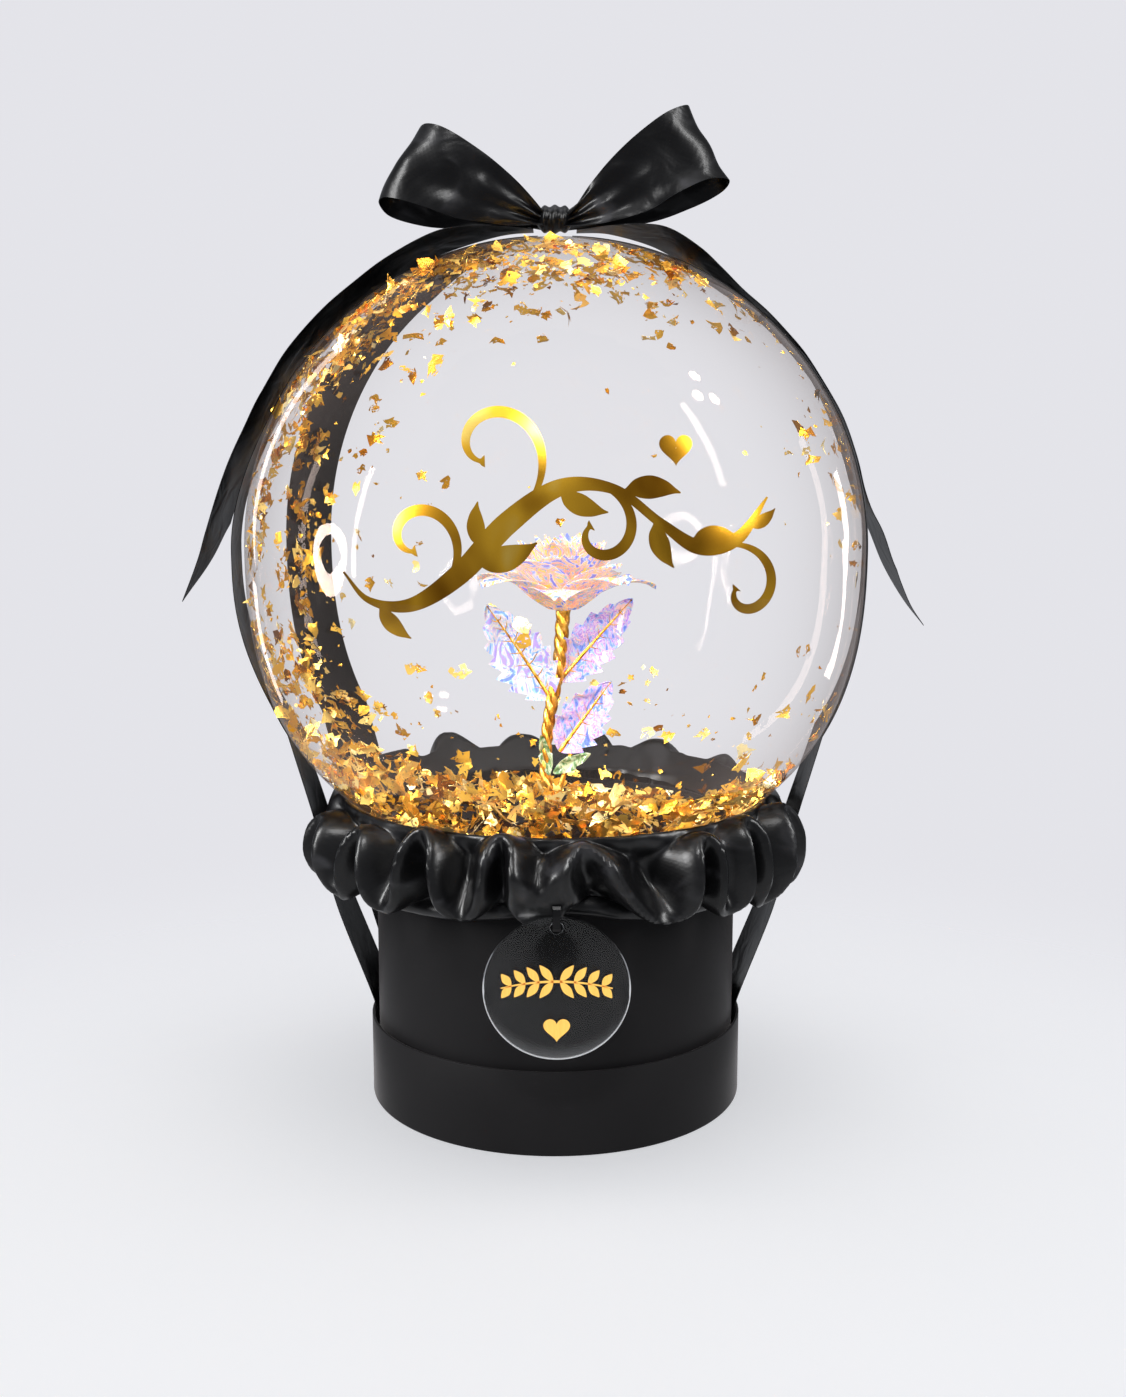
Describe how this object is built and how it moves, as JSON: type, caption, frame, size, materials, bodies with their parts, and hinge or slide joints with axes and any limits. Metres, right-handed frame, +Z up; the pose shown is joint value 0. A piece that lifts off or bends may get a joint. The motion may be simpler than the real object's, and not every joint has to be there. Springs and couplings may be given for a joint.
{
  "type": "clear bubble balloon",
  "caption": "Clear bubble balloon with gold foil flakes and a foil rose inside, nestled in a satin ruffle on a round hat box, tied with satin ribbon and a bow, with a clear hanging tag",
  "frame": {"origin": "centre of the underside of the lid that the box stands in", "axes": "+Z up, along the longest extent; -Y is the front, where the tag hangs; +X is to the right as seen from the front"},
  "size_m": [0.3593, 0.2924, 0.4697],
  "materials": {
    "box_paper": "matt black paper over board",
    "clear_film": "clear glossy stretched film",
    "ruffle_satin": "black satin, gathered",
    "ribbon_satin": "black satin ribbon",
    "tag_acrylic": "clear polished acrylic"
  },
  "bodies": {
    "root": {"lid_tray": "box_paper", "box_body": "box_paper", "balloon": "clear_film", "ruffle": "ruffle_satin", "strap_left": "ribbon_satin", "strap_right": "ribbon_satin", "strap_back": "ribbon_satin", "bow": "ribbon_satin", "tail_left": "ribbon_satin", "tail_right": "ribbon_satin", "tag": "tag_acrylic", "tag_ribbon": "ribbon_satin"}
  },
  "joints": []
}
